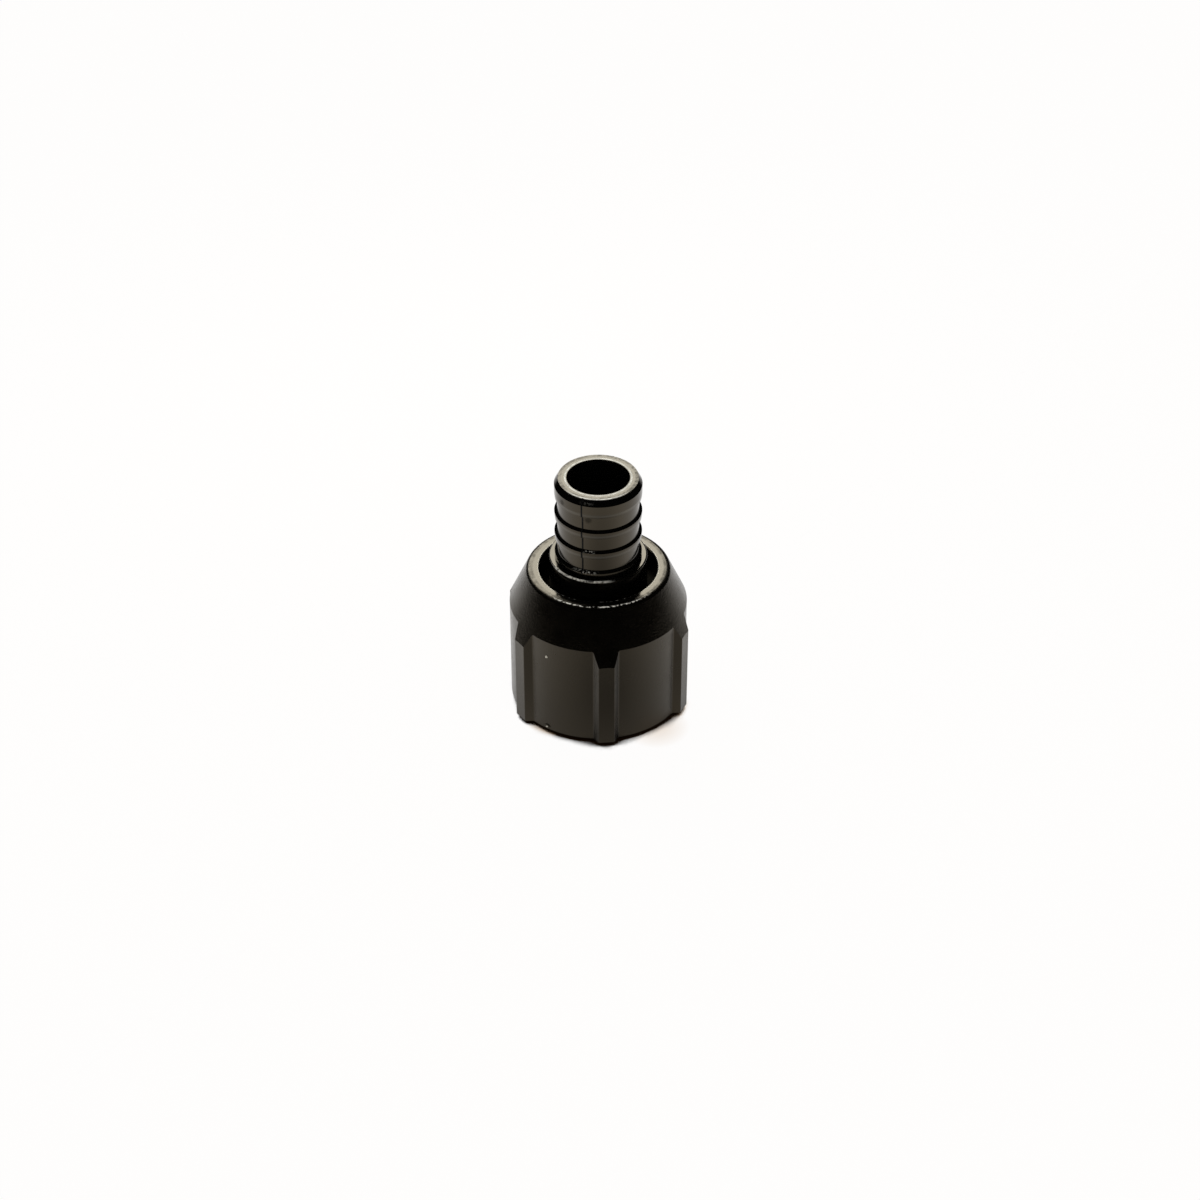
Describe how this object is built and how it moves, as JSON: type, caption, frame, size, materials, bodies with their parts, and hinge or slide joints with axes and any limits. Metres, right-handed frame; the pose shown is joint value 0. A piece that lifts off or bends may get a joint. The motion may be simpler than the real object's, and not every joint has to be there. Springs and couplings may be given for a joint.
{
  "type": "pex swivel coupling",
  "caption": "Swivel coupling for plastic water tube: a barbed insert that turns freely in a ribbed nut with a female pipe thread.",
  "frame": {"origin": "centre of the nut's open rim, on the surface that the coupling stands on", "axes": "+Z along the waterway towards the barb's tip, -Y through the middle of one grip rib"},
  "size_m": [0.0258, 0.0276, 0.0377],
  "materials": {
    "insert_plastic": "moulded black plastic with a clear gloss",
    "nut_plastic": "moulded black plastic with a satin, finely grained surface",
    "washer_rubber": "matt black rubber"
  },
  "bodies": {
    "nut": {"swivel_nut": "nut_plastic", "seal_washer": "washer_rubber"},
    "insert": {"barb_insert": "insert_plastic"}
  },
  "joints": [
    {"name": "swivel", "type": "hinge", "parent": "nut", "child": "insert", "pos_m": [0, 0, 0.0186], "axis": [0, 0, 1], "continuous": true}
  ]
}
